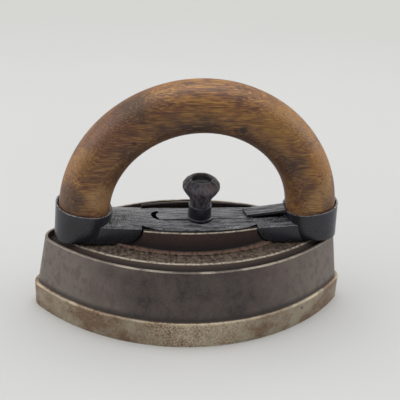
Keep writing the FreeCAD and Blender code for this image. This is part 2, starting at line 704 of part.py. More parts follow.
def latch_claw():
    """Sickle-shaped claw: a hub, an arm that the stem lifts and a hook round the claw's pin."""
    inner = claw_inner_radius()
    outer = inner + CLAW_BAND
    tip_x = KEEPER_RADIUS + CLAW_TIP_GAP - HANDLE_OFFSET
    tip_angle = math.degrees(math.acos((tip_x - CLAW_PIN_X) / inner))
    hook = Part.Wire([
        Part.Arc(polar(outer, 0), polar(outer, tip_angle / 2), polar(outer, tip_angle)).toShape(),
        Part.makeLine(polar(outer, tip_angle), polar(inner, tip_angle)),
        Part.Arc(polar(inner, tip_angle), polar(inner, tip_angle / 2), polar(inner, 0)).toShape(),
        Part.makeLine(polar(inner, 0), polar(outer, 0)),
    ])
    claw = Part.Face(hook).extrude(vector(0, CLAW_THICKNESS, 0))
    claw.translate(vector(0, -CLAW_THICKNESS / 2, 0))
    half_height = CLAW_ARM_HALF_HEIGHT
    arm_low_z = CLAW_PIN_Z - half_height
    arm = block(CLAW_PIN_X, CLAW_PIN_X + outer, CLAW_THICKNESS / 2, arm_low_z, arm_low_z + 2 * half_height)
    hub = rod_y(CLAW_HUB_RADIUS, CLAW_HUB_HALF_LENGTH, CLAW_PIN_X, CLAW_PIN_Z)
    claw = claw.fuse([arm.common(rod_y(outer, FAR, CLAW_PIN_X, CLAW_PIN_Z)), hub])
    claw = claw.cut(rod_y(PIN_RADIUS + RUNNING_CLEARANCE, FAR, CLAW_PIN_X, CLAW_PIN_Z))
    slot_radius = CROSS_PIN_RADIUS + CLAW_PIN_PLAY
    for side in (-CLAW_SLOT_PLAY, CLAW_SLOT_PLAY):
        claw = claw.cut(rod_y(slot_radius, FAR, KNOB_X + side, CLAW_PIN_Z))
    claw = claw.cut(block(KNOB_X - CLAW_SLOT_PLAY, KNOB_X + CLAW_SLOT_PLAY, FAR,
                          CLAW_PIN_Z - slot_radius, CLAW_PIN_Z + slot_radius))
    return in_place(claw.removeSplitter())


def leaf_tip_x():
    """Return where the leaf spring's free end lies on the lever."""
    return LEVER_END_X - LEAF_OVERLAP


def leaf_root_x():
    """Return where the leaf spring meets the socket's inner wall."""
    return ARCH_HALF_SPAN - GRIP_HALF_THICKNESS - GRIP_CLEARANCE - SOCKET_WALL


def leaf_solid(half_width, overshoot, thickness):
    """Return the sloping leaf, or the room for it, from its tip to past its root."""
    root_x = leaf_root_x() + SOCKET_WALL + overshoot
    low_z = PLATE_Z + LEAF_LIFT
    tip_x = leaf_tip_x()
    corners = [
        vector(tip_x, half_width, low_z),
        vector(tip_x + LEAF_SLANT, -half_width, low_z),
        vector(root_x, -half_width, low_z),
        vector(root_x, half_width, low_z),
        vector(tip_x, half_width, low_z),
    ]
    leaf = Part.Face(Part.makePolygon(corners)).extrude(vector(0, 0, thickness))
    leaf.rotate(vector(tip_x, 0, low_z), Y_AXIS, -LEAF_SLOPE_DEG)
    return leaf


def leaf_notch():
    """Return the notch in the socket's wall that the leaf's root lies in."""
    room = leaf_solid(LEAF_HALF_WIDTH + LEVER_CLEARANCE, 1, FAR)
    room.translate(vector(0, 0, -LEAF_ROOT_GAP))
    return room.common(block(leaf_tip_x(), FAR, FAR, 0, FAR))


def leaf_spring():
    """Flat steel leaf from under the grip's foot to the end of the lever."""
    return in_place(leaf_solid(LEAF_HALF_WIDTH, 0, LEAF_THICKNESS))


NODES = {
    "body_casting": body_casting,
    "insulating_fill": insulating_fill,
    "cap_plate": cap_plate,
    "keeper_rod": keeper_rod,
    "cap_screws": cap_screws,
    "handle_base": handle_base,
    "wooden_grip": wooden_grip,
    "grip_screws": grip_screws,
    "lever_pin": lever_pin,
    "claw_pin": claw_pin,
    "latch_lever": latch_lever,
    "knob_collar": knob_collar,
    "knob": knob,
    "knob_stem": knob_stem,
    "stem_cross_pin": stem_cross_pin,
    "latch_claw": latch_claw,
    "leaf_spring": leaf_spring,
}


def main():
    """Write one STEP file for each piece."""
    os.makedirs("parts", exist_ok=True)
    for name, make in NODES.items():
        shape = make()
        if not shape.isValid() or shape.Volume <= 0:
            raise ValueError(f"{name} isn't a sound solid")
        shape.exportStep(f"parts/{name}.step")
        print(name, len(shape.Solids), round(shape.Volume, 1))


main()
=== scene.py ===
"""Looks of a cast sad iron with two points and a lift-off wooden handle.

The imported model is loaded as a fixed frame. Castings, steel and wood get procedural finishes,
the knob is modelled again with its flutes, and the iron stands on a pale floor in soft light.
"""
import functools
import logging
import math
from dataclasses import dataclass
from enum import Enum
from typing import Callable, Mapping, Sequence

import bmesh
import bpy
from mathutils import Matrix, Vector


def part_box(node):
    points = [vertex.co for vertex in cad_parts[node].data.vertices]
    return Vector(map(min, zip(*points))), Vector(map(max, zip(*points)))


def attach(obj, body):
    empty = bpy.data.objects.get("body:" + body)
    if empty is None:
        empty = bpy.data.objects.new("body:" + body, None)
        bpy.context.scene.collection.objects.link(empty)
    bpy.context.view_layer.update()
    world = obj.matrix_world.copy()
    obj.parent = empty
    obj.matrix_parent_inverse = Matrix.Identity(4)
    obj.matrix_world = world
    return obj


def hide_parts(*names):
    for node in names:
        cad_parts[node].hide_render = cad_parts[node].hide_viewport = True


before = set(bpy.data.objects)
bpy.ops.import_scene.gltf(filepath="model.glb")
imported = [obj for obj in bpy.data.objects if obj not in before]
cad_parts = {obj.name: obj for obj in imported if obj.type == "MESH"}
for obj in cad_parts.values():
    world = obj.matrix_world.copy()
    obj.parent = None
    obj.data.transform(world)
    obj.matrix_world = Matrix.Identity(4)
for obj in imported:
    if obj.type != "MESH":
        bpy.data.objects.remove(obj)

LOG = logging.getLogger("sad_iron")
MM = 0.001
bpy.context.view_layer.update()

Socket = bpy.types.NodeSocket
Colour = tuple[float, float, float, float]
AddNode = Callable[..., Socket]

# Inputs of a Mix node by number, because its names repeat: share, two numbers, two colours.
SHARE, NUMBER_A, NUMBER_B, COLOUR_A, COLOUR_B = 0, 2, 3, 6, 7
COLOUR_OUT = 2
# Makes a Map Range node ease in and out between its limits.
EASED = {"interpolation_type": "SMOOTHSTEP"}


# ---------------------------------------------------------------- small tools


def linear(colour: str) -> Colour:
    """Turn an sRGB hex colour into the linear colour that shaders use.

    Args:
        colour: A hash and six hex digits.

    Returns:
        Red, green, blue and an alpha of 1.
    """
    parts = [int(colour[index:index + 2], 16) / 255 for index in (1, 3, 5)]
    curve = [part / 12.92 if part <= 0.04045 else ((part + 0.055) / 1.055) ** 2.4 for part in parts]
    return (curve[0], curve[1], curve[2], 1.0)


def per_mm(size_mm: float) -> float:
    """Return the texture scale whose pattern repeats about every size_mm."""
    return 1 / (size_mm * MM)


def add_node(tree: bpy.types.NodeTree, kind: str, inputs: Mapping | Sequence = (),
             out: int | str = 0,
             stops: Sequence[tuple[float, str]] = (), **settings: object) -> Socket | None:
    """Add one node with its settings and links.

    Args:
        tree: Node tree that gets the node.
        kind: Node type, without the prefix that all shader nodes share.
        inputs: What feeds each input, in order or by name: another node's output, or a value.
        out: Output that is handed back, by number or name.
        stops: Positions and colours, where the node is a colour ramp.
        **settings: The node's own settings.

    Returns:
        The output asked for, or None where the node has none.
    """
    node = tree.nodes.new("ShaderNode" + kind)
    for name, value in settings.items():
        setattr(node, name, value)
    for name, value in inputs.items() if isinstance(inputs, Mapping) else enumerate(inputs):
        if isinstance(value, Socket):
            tree.links.new(value, node.inputs[name])
        else:
            node.inputs[name].default_value = value
    for index, (position, colour) in enumerate(stops):
        ramp = node.color_ramp.elements
        stop = ramp[index] if index < 2 else ramp.new(position)
        stop.position = position
        stop.color = linear(colour)
    return node.outputs[out] if node.outputs else None


def looked_at(node: AddNode) -> Socket:
    """Tell rays that look, mirror or pass through from rays that only light.

    Args:
        node: Adds a node to the tree.

    Returns:
        Socket with 1 for camera, glossy and transmission rays, and 0 for the rest.
    """
    camera = node("LightPath", (), "Is Camera Ray")
    mirrored = node("LightPath", (), "Is Glossy Ray")
    through = node("LightPath", (), "Is Transmission Ray")
    seen = node("Math", (camera, mirrored), operation="MAXIMUM")
    return node("Math", (seen, through), operation="MAXIMUM")


# ---------------------------------------------------------------- finishes


@dataclass(frozen=True)
class Lens:
    """Plan outline of two bowed sides that run into rounded points, in millimetres."""

    half_length: float
    half_width: float
    tip_radius: float

    def inset(self, node: AddNode, place: Socket) -> Socket:
        """Measure how far inside the outline a point lies.

        Args:
            node: Adds a node to the finish's tree.
            place: Position on the object.

        Returns:
            Socket with the distance from the outline in metres, positive inside.
        """
        tip_x = self.half_length - self.tip_radius
        rise = self.half_width - self.tip_radius
        side_radius = (tip_x ** 2 + self.half_width ** 2 - self.tip_radius ** 2) / (2 * rise)
        lean = math.atan2(side_radius - self.half_width, tip_x)
        join_x = tip_x + self.tip_radius * math.cos(lean)
        flat = node("VectorMath", (place, (1, 1, 0)), operation="MULTIPLY")
        quarter = node("VectorMath", (flat,), operation="ABSOLUTE")
        side_centre = (0, (self.half_width - side_radius) * MM, 0)
        to_side = node("VectorMath", (quarter, side_centre), "Value", operation="DISTANCE")
        to_tip = node("VectorMath", (quarter, (tip_x * MM, 0, 0)), "Value", operation="DISTANCE")
        in_side = node("Math", (side_radius * MM, to_side), operation="SUBTRACT")
        in_tip = node("Math", (self.tip_radius * MM, to_tip), operation="SUBTRACT")
        at_tip = node("Math", (node("SeparateXYZ", (quarter,)), join_x * MM),
                      operation="GREATER_THAN")
        return node("Mix", {SHARE: at_tip, NUMBER_A: in_side, NUMBER_B: in_tip}, data_type="FLOAT")


# Outlines and heights of the castings that the finishes' zones follow.
CAP_TOP_OUTLINE = Lens(66.5, 28.1, 5.8)
RING_FOOT_OUTLINE = Lens(43.5, 20.4, 13.4)
RING_TOP_OUTLINE = Lens(38.5, 15.9, 12.8)
FLANGE_Z = 13.3 * MM
RIM_Z = 39.5 * MM
RING_Z = 49.2 * MM
PLATE_Z = 50.2 * MM
SOCKET_Z = 56.5 * MM


class Finish:
    """A procedural material, built once and shared by the pieces that wear it."""

    name = "finish"

    def material(self) -> bpy.types.Material:
        """Return the finish's material, and build it the first time."""
        found = bpy.data.materials.get(self.name)
        if found:
            return found
        made = bpy.data.materials.new(self.name)
        made.use_nodes = True
        made.node_tree.nodes.clear()
        node = functools.partial(add_node, made.node_tree)
        node("OutputMaterial", {"Surface": self.build(node, node("TexCoord", (), "Object"))})
        return made

    def build(self, node: AddNode, place: Socket) -> Socket:
        """Add the finish's own nodes.

        Args:
            node: Adds a node to the finish's tree.
            place: Position on the object.

        Returns:
            The shader's output.
        """
        raise NotImplementedError


@dataclass(frozen=True)
class BareCastIron(Finish):
    """Bare cast iron, sand cast and browned by heat.

    The eye gets a satin wall, painted lighter toward its ends as if lit from the sides, a tan
    rubbed flange with rust pits, and a thin bright line on the rim, partly wear and partly a
    painted glint.
    """

    name: str = "bare_cast_iron"
    wall_dark: str = "#352F2F"
    wall_light: str = "#655A56"
    lit_end_tan: str = "#7A706A"
    bloom: str = "#574742"
    flange_rust: str = "#6A4F3A"
    flange_grey: str = "#9A907E"
    flange_worn: str = "#CBBBA2"
    darkening: str = "#2E2828"
    rim_worn_and_glint: str = "#B5AA9B"
    pit_rust: str = "#33261F"
    cloud_mm: float = 13.0
    run_mm: float = 3.5
    rust_mm: float = 19.0
    pit_spacing_mm: float = 4.5
    grain_mm: float = 0.9
    grit_mm: float = 0.5
    grain_height_mm: float = 0.14
    grit_height_mm: float = 0.05
    pit_depth_mm: float = 0.3

    def build(self, node: AddNode, place: Socket) -> Socket:
        """Add the wall, the flange and the rim as zones by height, with pits over them."""
        across = node("SeparateXYZ", (place,))
        height = node("SeparateXYZ", (place,), "Z")
        cloud = node("TexNoise", {"Vector": place, "Scale": per_mm(self.cloud_mm), "Detail": 4.0,
                                  "Roughness": 0.62})
        grain = node("TexNoise", {"Vector": place, "Scale": per_mm(self.grain_mm), "Detail": 2.0})
        # The moulding sand's finest grit, about 0.1 mm, is drawn coarser so that it shows.
        grit = node("TexNoise", {"Vector": place, "Scale": per_mm(self.grit_mm), "Detail": 1.0})
        # Clouds of brown bloom are drawn out down the wall.
        down = node("Mapping", {"Vector": place, "Scale": (1.0, 1.0, 0.55)})
        runs = node("TexNoise", {"Vector": down, "Scale": per_mm(self.run_mm), "Detail": 4.0,
                                 "Roughness": 0.7})
        fine = node("Mix", {SHARE: 0.5, NUMBER_A: grain, NUMBER_B: runs}, data_type="FLOAT")
        mottle = node("Mix", {SHARE: 0.5, NUMBER_A: cloud, NUMBER_B: fine}, data_type="FLOAT")

        wall = node("ValToRGB", (mottle,), stops=((0.36, self.wall_dark), (0.64, self.wall_light)))
        out = node("Math", (cloud, 22 * MM, node("Math", (across,), operation="ABSOLUTE")),
                   operation="MULTIPLY_ADD")
        # Painted light: the wall is made lighter toward its ends, as if lit more there from the
        # sides.
        lit_end_share = node("MapRange", (out, 30 * MM, 78 * MM, 0.0, 0.9), **EASED)
        wall = node("Mix", {SHARE: lit_end_share, COLOUR_A: wall, COLOUR_B: linear(self.lit_end_tan)},
                    COLOUR_OUT, data_type="RGBA")
        bloom = node("MapRange", (runs, 0.48, 0.62, 0.0, 0.45), **EASED)
        wall = node("Mix", {SHARE: bloom, COLOUR_A: wall, COLOUR_B: linear(self.bloom)}, COLOUR_OUT,
                    data_type="RGBA")

        rust = node("TexNoise", {"Vector": place, "Scale": per_mm(self.rust_mm), "Detail": 5.0,
                                 "Roughness": 0.68})
        flange = node("ValToRGB", (rust,),
                      stops=((0.42, self.flange_rust), (0.58, self.flange_grey)))
        rubbed = node("MapRange", (out, 46 * MM, 16 * MM, 0.22, 0.9), **EASED)
        mottled = node("Math", (node("MapRange", (grain, 0.3, 0.65)), rubbed), operation="MULTIPLY")
        flange = node("Mix", {SHARE: mottled, COLOUR_A: flange, COLOUR_B: linear(self.flange_worn)},
                      COLOUR_OUT, data_type="RGBA")

        wavering = node("Math", (grain, 0.5 * MM, height), operation="MULTIPLY_ADD")
        on_wall = node("MapRange", (wavering, FLANGE_Z + 0.25 * MM, FLANGE_Z + 1.3 * MM), **EASED)
        colour = node("Mix", {SHARE: on_wall, COLOUR_A: flange, COLOUR_B: wall}, COLOUR_OUT,
                      data_type="RGBA")

        lip_in = node("MapRange", (height, FLANGE_Z - 1.3 * MM, FLANGE_Z - 0.3 * MM), **EASED)
        lip_out = node("MapRange", (height, FLANGE_Z + 0.15 * MM, FLANGE_Z - 0.05 * MM), **EASED)
        chipped = node("MapRange", (cloud, 0.46, 0.62, 0.0, 0.6), **EASED)
        lip = node("Math", (node("Math", (lip_in, lip_out), operation="MULTIPLY"), chipped),
                   operation="MULTIPLY")
        colour = node("Mix", {SHARE: lip, COLOUR_A: colour, COLOUR_B: linear(self.flange_worn)},
                      COLOUR_OUT, data_type="RGBA")

        # A darker band on the wall's foot, just above the flange.
        darkening_in = node("MapRange", (height, FLANGE_Z - 0.1 * MM, FLANGE_Z + 0.3 * MM), **EASED)
        darkening_out = node("MapRange", (height, FLANGE_Z + 4.0 * MM, FLANGE_Z + 0.8 * MM), **EASED)
        darkening = node("Math", (darkening_in, darkening_out), operation="MULTIPLY")
        darkening = node("Math", (darkening, 0.75), operation="MULTIPLY")
        colour = node("Mix", {SHARE: darkening, COLOUR_A: colour, COLOUR_B: linear(self.darkening)},
                      COLOUR_OUT, data_type="RGBA")

        # The rim's thin bright line is partly wear and partly a painted glint, strongest toward the
        # middle.
        rim = node("MapRange", (height, RIM_Z - 0.5 * MM, RIM_Z - 0.2 * MM), **EASED)
        worn_and_glint = node("MapRange", (cloud, 0.42, 0.6, 0.25, 0.95), **EASED)
        middle = node("MapRange", (out, 86 * MM, 58 * MM, 0.15, 1.0), **EASED)
        rim = node("Math", (node("Math", (rim, worn_and_glint), operation="MULTIPLY"), middle),
                   operation="MULTIPLY")
        colour = node("Mix", {SHARE: rim, COLOUR_A: colour, COLOUR_B: linear(self.rim_worn_and_glint)},
                      COLOUR_OUT, data_type="RGBA")

        spots = node("TexVoronoi", {"Vector": place, "Scale": per_mm(self.pit_spacing_mm),
                                    "Randomness": 1.0})
        pit = node("MapRange", (spots, 0.22, 0.1), **EASED)
        rare = node("MapRange", (rust, 0.53, 0.6), **EASED)
        low = node("MapRange", (height, FLANGE_Z + 1 * MM, FLANGE_Z - 1 * MM, 0.12, 0.9))
        pit = node("Math", (node("Math", (pit, rare), operation="MULTIPLY"), low),
                   operation="MULTIPLY")
        colour = node("Mix", {SHARE: pit, COLOUR_A: colour, COLOUR_B: linear(self.pit_rust)},
                      COLOUR_OUT, data_type="RGBA")

        rough = node("MapRange", (mottle, 0.36, 0.66, 0.40, 0.54))
        normal = node("Bump", {"Height": grain, "Distance": self.grain_height_mm * MM})
        normal = node("Bump", {"Height": grit, "Distance": self.grit_height_mm * MM,
                               "Normal": normal})
        normal = node("Bump", {"Height": pit, "Distance": -self.pit_depth_mm * MM,
                               "Normal": normal})
        return node("BsdfPrincipled", {"Base Color": colour, "Metallic": 0.45, "Roughness": rough,
                                       "Normal": normal})


@dataclass(frozen=True)
class BrownedCastIron(Finish):
    """Cast iron left rough from the sand and browned by heat.

    The eye gets a crumbly brown top between a dark bevel and a ring that darkens toward its foot,
    with painted shade on the ring's lip, and bare metal rubbed by wear along the rounded edges,
    with painted glints on it.
    """

    name: str = "browned_cast_iron"
    top_dark: str = "#3E332D"
    top_light: str = "#85766A"
    bevel_dark: str = "#110E0F"
    bevel_light: str = "#2E2422"
    shoulder: str = "#4A3E38"
    ring_dark_and_lip_shade: str = "#1C1719"
    ring_rust: str = "#4A3733"
    worn_and_glint: str = "#C9BDAC"
    foot_rust: str = "#8D6E62"
    cloud_mm: float = 10.0
    crumb_mm: float = 1.5
    grain_mm: float = 0.7
    crumb_height_mm: float = 0.22
    grain_height_mm: float = 0.08

    def build(self, node: AddNode, place: Socket) -> Socket:
        """Add bevel, top and ring as zones by their outlines, with rubbed edges and painted glints
        over them, and painted shade on the ring's lip.
        """
        height = node("SeparateXYZ", (place,), "Z")
        cloud = node("TexNoise", {"Vector": place, "Scale": per_mm(self.cloud_mm), "Detail": 4.0})
        grain = node("TexNoise", {"Vector": place, "Scale": per_mm(self.grain_mm), "Detail": 2.0})
        crumbs = node("TexNoise", {"Vector": place, "Scale": per_mm(self.crumb_mm), "Detail": 3.0,
                                   "Roughness": 0.65})
        mottle = node("Mix", {SHARE: 0.5, NUMBER_A: cloud, NUMBER_B: crumbs}, data_type="FLOAT")

        bevel = node("ValToRGB", (mottle,),
                     stops=((0.36, self.bevel_dark), (0.64, self.bevel_light)))
        top = node("ValToRGB", (crumbs,), stops=((0.38, self.top_dark), (0.66, self.top_light)))
        inset = node("Math", (grain, -0.4 * MM, CAP_TOP_OUTLINE.inset(node, place)),
                     operation="MULTIPLY_ADD")
        on_top = node("MapRange", (inset, -0.5 * MM, 0.1 * MM), **EASED)
        shoulder = node("MapRange", (inset, -3.6 * MM, -0.6 * MM, 0.0, 0.75), **EASED)
        bevel = node("Mix", {SHARE: shoulder, COLOUR_A: bevel, COLOUR_B: linear(self.shoulder)},
                     COLOUR_OUT, data_type="RGBA")
        colour = node("Mix", {SHARE: on_top, COLOUR_A: bevel, COLOUR_B: top}, COLOUR_OUT,
                      data_type="RGBA")

        # The ring is darker toward its foot.
        up = node("MapRange", (height, RIM_Z + 1.0 * MM, RING_Z), **EASED)
        warm = node("Math", (up, node("MapRange", (crumbs, 0.3, 0.7, 0.4, 1.0))),
                    operation="MULTIPLY")
        darkening, rust = linear(self.ring_dark_and_lip_shade), linear(self.ring_rust)
        ring = node("Mix", {SHARE: warm, COLOUR_A: darkening, COLOUR_B: rust}, COLOUR_OUT,
                    data_type="RGBA")
        ring_inset = node("Math", (crumbs, 0.5 * MM, RING_FOOT_OUTLINE.inset(node, place)),
                          operation="MULTIPLY_ADD")
        on_ring = node("MapRange", (ring_inset, 0.7 * MM, 1.2 * MM), **EASED)
        colour = node("Mix", {SHARE: on_ring, COLOUR_A: colour, COLOUR_B: ring}, COLOUR_OUT,
                      data_type="RGBA")

        # Along the cap top's edge: bare metal rubbed by wear, with a painted glint over it.
        edge_out = node("MapRange", (inset, -0.9 * MM, -0.3 * MM), **EASED)
        edge_in = node("MapRange", (inset, 0.9 * MM, 0.0), **EASED)
        rubbed = node("MapRange", (crumbs, 0.36, 0.6, 0.35, 1.0), **EASED)
        edge = node("Math", (node("Math", (edge_out, edge_in), operation="MULTIPLY"), rubbed),
                    operation="MULTIPLY")
        colour = node("Mix", {SHARE: edge, COLOUR_A: colour, COLOUR_B: linear(self.worn_and_glint)},
                      COLOUR_OUT, data_type="RGBA")

        foot_out = node("MapRange", (ring_inset, -0.1 * MM, 0.35 * MM), **EASED)
        foot_in = node("MapRange", (ring_inset, 1.0 * MM, 0.55 * MM), **EASED)
        foot = node("Math", (node("Math", (foot_out, foot_in), operation="MULTIPLY"), rubbed),
                    operation="MULTIPLY")
        colour = node("Mix", {SHARE: foot, COLOUR_A: colour, COLOUR_B: linear(self.foot_rust)},
                      COLOUR_OUT, data_type="RGBA")

        # Painted shade: the ring's lip is darkened as if in shadow, with a thin painted glint,
        # partly wear, along its outside edge.
        on_lip = node("MapRange", (height, RING_Z - 0.6 * MM, RING_Z - 0.3 * MM), **EASED)
        colour = node("Mix", {SHARE: on_lip, COLOUR_A: colour, COLOUR_B: linear(self.ring_dark_and_lip_shade)},
                      COLOUR_OUT, data_type="RGBA")
        thin = node("MapRange", (RING_TOP_OUTLINE.inset(node, place), 0.55 * MM, 0.25 * MM),
                    **EASED)
        glint = node("Math", (node("Math", (on_lip, thin), operation="MULTIPLY"), rubbed),
                     operation="MULTIPLY")
        colour = node("Mix", {SHARE: glint, COLOUR_A: colour, COLOUR_B: linear(self.worn_and_glint)},
                      COLOUR_OUT, data_type="RGBA")

        rough = node("MapRange", (mottle, 0.36, 0.64, 0.5, 0.7))
        normal = node("Bump", {"Height": crumbs, "Distance": self.crumb_height_mm * MM})
        normal = node("Bump", {"Height": grain, "Distance": self.grain_height_mm * MM,
                               "Normal": normal})
        return node("BsdfPrincipled", {"Base Color": colour, "Metallic": 0.35, "Roughness": rough,
                                       "Specular IOR Level": 0.25, "Normal": normal})


class CastingRelief(Enum):
    """How deep the casting's ripples show through its varnish, in millimetres."""

    SMOOTH = 0.12
    RIPPLED = 0.7


@dataclass(frozen=True)
class JapannedIron(Finish):
    """Cast iron under black baked japan varnish.

    The eye gets a soft blue-black gloss on upright faces, and a painted grey sheen in long
    ripples on the faces that look up, standing in for the light they reflect.
    """

    name: str = "black_japanned_iron"
    relief: CastingRelief = CastingRelief.SMOOTH
    coat_dark: str = "#101017"
    coat_light: str = "#1E1E2C"
    sheen_dark: str = "#36373C"
    sheen_light: str = "#9A9BA1"
    cloud_mm: float = 8.0
    grain_mm: float = 0.8
    streak_mm: float = 1.3
    ripple_mm: float = 2.0
    grain_height_mm: float = 0.012

    def build(self, node: AddNode, place: Socket) -> Socket:
        """Add the varnish, a painted grey sheen on faces that look up, and the casting's ripples.
        """
        height = node("SeparateXYZ", (place,), "Z")
        facing = node("SeparateXYZ", (node("NewGeometry", (), "Normal"),), "Z")
        cloud = node("TexNoise", {"Vector": place, "Scale": per_mm(self.cloud_mm), "Detail": 3.0})
        grain = node("TexNoise", {"Vector": place, "Scale": per_mm(self.grain_mm), "Detail": 2.0})
        lengthwise = node("Mapping", {"Vector": place, "Scale": (0.13, 1.0, 0.5)})
        streaks = node("TexNoise", {"Vector": lengthwise, "Scale": per_mm(self.streak_mm),
                                    "Detail": 3.0, "Distortion": 0.7})

        coat = node("ValToRGB", (cloud,), stops=((0.35, self.coat_dark), (0.65, self.coat_light)))
        # Painted sheen: grey on the faces that look up stands in for reflected light.
        rubbed = node("ValToRGB", (streaks,),
                      stops=((0.34, self.sheen_dark), (0.62, self.sheen_light)))
        upward = node("MapRange", (facing, 0.62, 0.93), **EASED)
        above = node("MapRange", (height, PLATE_Z - 6.0 * MM, PLATE_Z - 4.0 * MM), **EASED)
        share = node("Math", (upward, above), operation="MULTIPLY")
        colour = node("Mix", {SHARE: share, COLOUR_A: coat, COLOUR_B: rubbed}, COLOUR_OUT,
                      data_type="RGBA")

        # Ripples of the poured metal follow the plate's edge.
        bent = node("Math", (cloud, 16 * MM, RING_TOP_OUTLINE.inset(node, place)),
                    operation="MULTIPLY_ADD")
        bent = node("Math", (streaks, 2.5 * MM, bent), operation="MULTIPLY_ADD")
        turns = node("Math", (bent, per_mm(self.ripple_mm) * 2 * math.pi), operation="MULTIPLY")
        waves = node("Math", (turns,), operation="SINE")
        waves = node("Math", (waves, 0.3, streaks), operation="MULTIPLY_ADD")
        ripples = node("Math", (waves, share), operation="MULTIPLY")
        normal = node("Bump", {"Height": ripples, "Distance": self.relief.value * MM})
        normal = node("Bump", {"Height": grain, "Distance": self.grain_height_mm * MM,
                               "Normal": normal})
        rough = node("MapRange", (grain, 0.3, 0.7, 0.24, 0.36))
        return node("BsdfPrincipled", {"Base Color": colour, "Roughness": rough, "IOR": 1.55,
                                       "Normal": normal})


@dataclass(frozen=True)
class BlackenedIron(Finish):
    """Cast iron blackened in oil and handled bright.

    The eye gets a dull near-black with brown-grey smears on the flutes, and a darker inside of the
    dish.
    """

    name: str = "blackened_cast_iron"
    low: str = "#1D1A20"
    high: str = "#6C666F"
    warm: str = "#6B544B"
    darkening: str = "#131215"
    axis_x_mm: float = 3.1
    dish_mm: float = 5.4
    smear_mm: float = 1.5
    tint_mm: float = 6.0
    grain_mm: float = 0.6
    grain_height_mm: float = 0.06

    def build(self, node: AddNode, place: Socket) -> Socket:
        """Add a mottled black, smeared along the height."""
        drawn = node("Mapping", {"Vector": place, "Scale": (1.0, 1.0, 0.35)})
        cloud = node("TexNoise", {"Vector": drawn, "Scale": per_mm(self.smear_mm), "Detail": 4.0,
                                  "Roughness": 0.6})
        tint = node("TexNoise", {"Vector": place, "Scale": per_mm(self.tint_mm), "Detail": 2.0})
        grain = node("TexNoise", {"Vector": place, "Scale": per_mm(self.grain_mm), "Detail": 2.0})
        colour = node("ValToRGB", (cloud,), stops=((0.36, self.low), (0.72, self.high)))
        warmed = node("MapRange", (tint, 0.5, 0.7, 0.0, 0.45), **EASED)
        colour = node("Mix", {SHARE: warmed, COLOUR_A: colour, COLOUR_B: linear(self.warm)},
                      COLOUR_OUT, data_type="RGBA")
        # The inside of the dish on the knob's top is darker.
        axis = node("VectorMath", (place, (self.axis_x_mm * MM, 0, 0)), operation="SUBTRACT")
        flat = node("VectorMath", (axis, (1, 1, 0)), operation="MULTIPLY")
        radius = node("VectorMath", (flat,), "Value", operation="LENGTH")
        in_dish = node("MapRange", (radius, self.dish_mm * MM, (self.dish_mm - 1) * MM))
        height = node("SeparateXYZ", (place,), "Z")
        high = node("MapRange", (height, PLATE_Z + 15 * MM, PLATE_Z + 16 * MM))
        darkening = node("Math", (in_dish, high), operation="MULTIPLY")
        colour = node("Mix", {SHARE: darkening, COLOUR_A: colour, COLOUR_B: linear(self.darkening)},
                      COLOUR_OUT, data_type="RGBA")
        rough = node("MapRange", (grain, 0.3, 0.7, 0.34, 0.52))
        normal = node("Bump", {"Height": grain, "Distance": self.grain_height_mm * MM})
        return node("BsdfPrincipled", {"Base Color": colour, "Metallic": 0.25, "Roughness": rough,
                                       "Normal": normal})


@dataclass(frozen=True)
class Mark:
    """A patch or bruise in the wood: its middle and reach in millimetres, colour and strength."""

    place: tuple[float, float, float]
    reach: float
    colour: str
    strength: float


